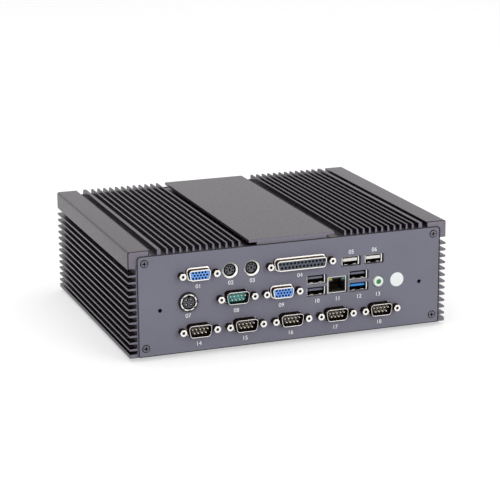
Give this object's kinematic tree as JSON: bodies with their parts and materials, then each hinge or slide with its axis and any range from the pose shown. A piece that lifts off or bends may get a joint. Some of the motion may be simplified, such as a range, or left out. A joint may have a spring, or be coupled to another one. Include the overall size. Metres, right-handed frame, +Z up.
{
  "type": "fanless box computer",
  "caption": "Fanless box computer for a point-of-sale station: finned aluminium housing, a panel of serial, video, data, network and power sockets, and a sprung power button.",
  "frame": {"origin": "centre of the bounding box in plan, at the underside of the rubber feet", "axes": "+Z up; the port panel faces -Y and the panel with the power button faces +Y; +X is to the right for someone who looks at the port panel"},
  "size_m": [0.2416, 0.2046, 0.0791],
  "materials": {
    "anodised_housing": "black, bead-blasted and anodised",
    "slate_panel": "satin slate powder coat",
    "dark_screw": "zinc-plated steel",
    "nickel": "bright nickel plate",
    "gold_contact": "gold flash",
    "black_plastic": "moulded",
    "grey_plastic": "moulded",
    "blue_plastic": "moulded",
    "teal_plastic": "moulded",
    "bright_blue_plastic": "moulded",
    "cream_plastic": "moulded",
    "lime_plastic": "moulded",
    "yellow_lamp": "clear",
    "green_lamp": "clear",
    "amber_lamp": "clear",
    "white_label": "plain",
    "rubber": "matte",
    "circuit_board": "solder mask",
    "chip": "moulded",
    "thermal_pad": "soft",
    "plain_aluminium": "machined",
    "cell_steel": "stamped",
    "drive_case": "anodised",
    "flat_cable": "ribbon",
    "button_steel": "satin"
  },
  "bodies": {
    "housing": {"audio_jack": "lime_plastic", "base_plate": "slate_panel", "base_screws": "dark_screw", "board_screws": "nickel", "board_standoffs": "nickel", "coin_cell": "cell_steel", "drive_cable": "flat_cable", "drive_led": "amber_lamp", "front_panel": "slate_panel", "heat_block": "plain_aluminium", "inspection_sticker": "white_label", "io_panel": "slate_panel", "jackscrews": "nickel", "keyboard_port_insert": "grey_plastic", "keyboard_port_shield": "nickel", "lan_insert": "black_plastic", "lan_led_left": "yellow_lamp", "lan_led_right": "green_lamp", "lan_shell": "nickel", "left_heatsink": "anodised_housing", "lower_io_board": "circuit_board", "memory_module": "circuit_board", "motherboard": "circuit_board", "mouse_port_insert": "grey_plastic", "mouse_port_shield": "nickel", "panel_screws": "dark_screw", "parallel_port_insert": "black_plastic", "parallel_port_shell": "nickel", "power_button_body": "nickel", "power_button_nut": "nickel", "power_inlet_housing": "black_plastic", "power_inlet_shield": "nickel", "power_led": "green_lamp", "processor": "chip", "ribbon_cables": "flat_cable", "right_heatsink": "anodised_housing", "rubber_feet": "rubber", "serial_pins": "gold_contact", "serial_port_1_insert": "teal_plastic", "serial_port_inserts": "black_plastic", "serial_port_shells": "nickel", "solid_state_drive": "drive_case", "thermal_pad": "thermal_pad", "top_heatsink": "anodised_housing", "upper_io_board": "circuit_board", "usb_single_1_insert": "cream_plastic", "usb_single_1_shell": "nickel", "usb_single_2_insert": "cream_plastic", "usb_single_2_shell": "nickel", "usb_stack_1_insert": "black_plastic", "usb_stack_1_shell": "nickel", "usb_stack_2_lower_insert": "bright_blue_plastic", "usb_stack_2_shell": "nickel", "usb_stack_2_upper_insert": "black_plastic", "vga_port_1_insert": "blue_plastic", "vga_port_1_shell": "nickel", "vga_port_2_insert": "blue_plastic", "vga_port_2_shell": "nickel"},
    "power_button": {"power_button_cap": "button_steel"}
  },
  "joints": [
    {"name": "power_button_press", "type": "slide", "parent": "housing", "child": "power_button", "axis": [0, -1, 0], "range_m": [0, 0.0015], "stiffness_N_per_m": 1200, "springref_m": -0.0008}
  ]
}
